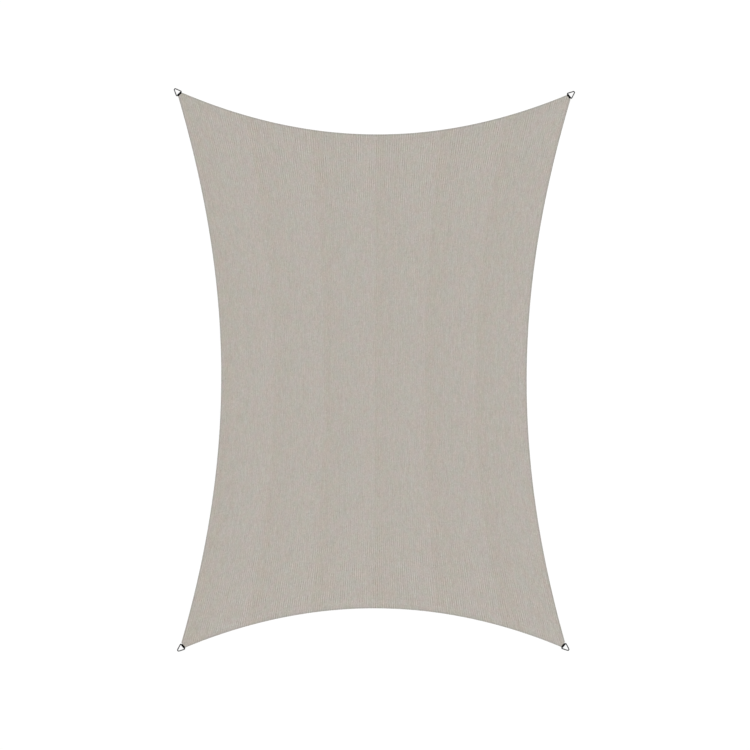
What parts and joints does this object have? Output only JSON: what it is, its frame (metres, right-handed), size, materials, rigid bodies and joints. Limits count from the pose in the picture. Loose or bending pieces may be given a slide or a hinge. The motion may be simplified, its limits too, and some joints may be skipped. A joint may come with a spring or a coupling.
{
  "type": "shade sail",
  "caption": "Rectangular shade sail of knitted cloth with hollowed, hemmed edges and a triangular wire ring on a webbing loop at each corner, laid out flat with its face up.",
  "frame": {"origin": "under the middle of the whole sail, rings included, on the surface that it lies on", "axes": "+X to the right and +Y up in the picture, which is the sail's long way; +Z up out of its face"},
  "size_m": [2.567, 3.6046, 0.0095],
  "materials": {
    "cloth": "matt taupe knitted HDPE shade cloth",
    "webbing": "black woven polyester webbing",
    "steel": "satin stainless steel wire"
  },
  "bodies": {
    "root": {"sail_cloth": "cloth", "webbing_tl": "webbing", "webbing_tr": "webbing", "webbing_br": "webbing", "webbing_bl": "webbing", "ring_tl": "steel", "ring_tr": "steel", "ring_br": "steel", "ring_bl": "steel"}
  },
  "joints": []
}
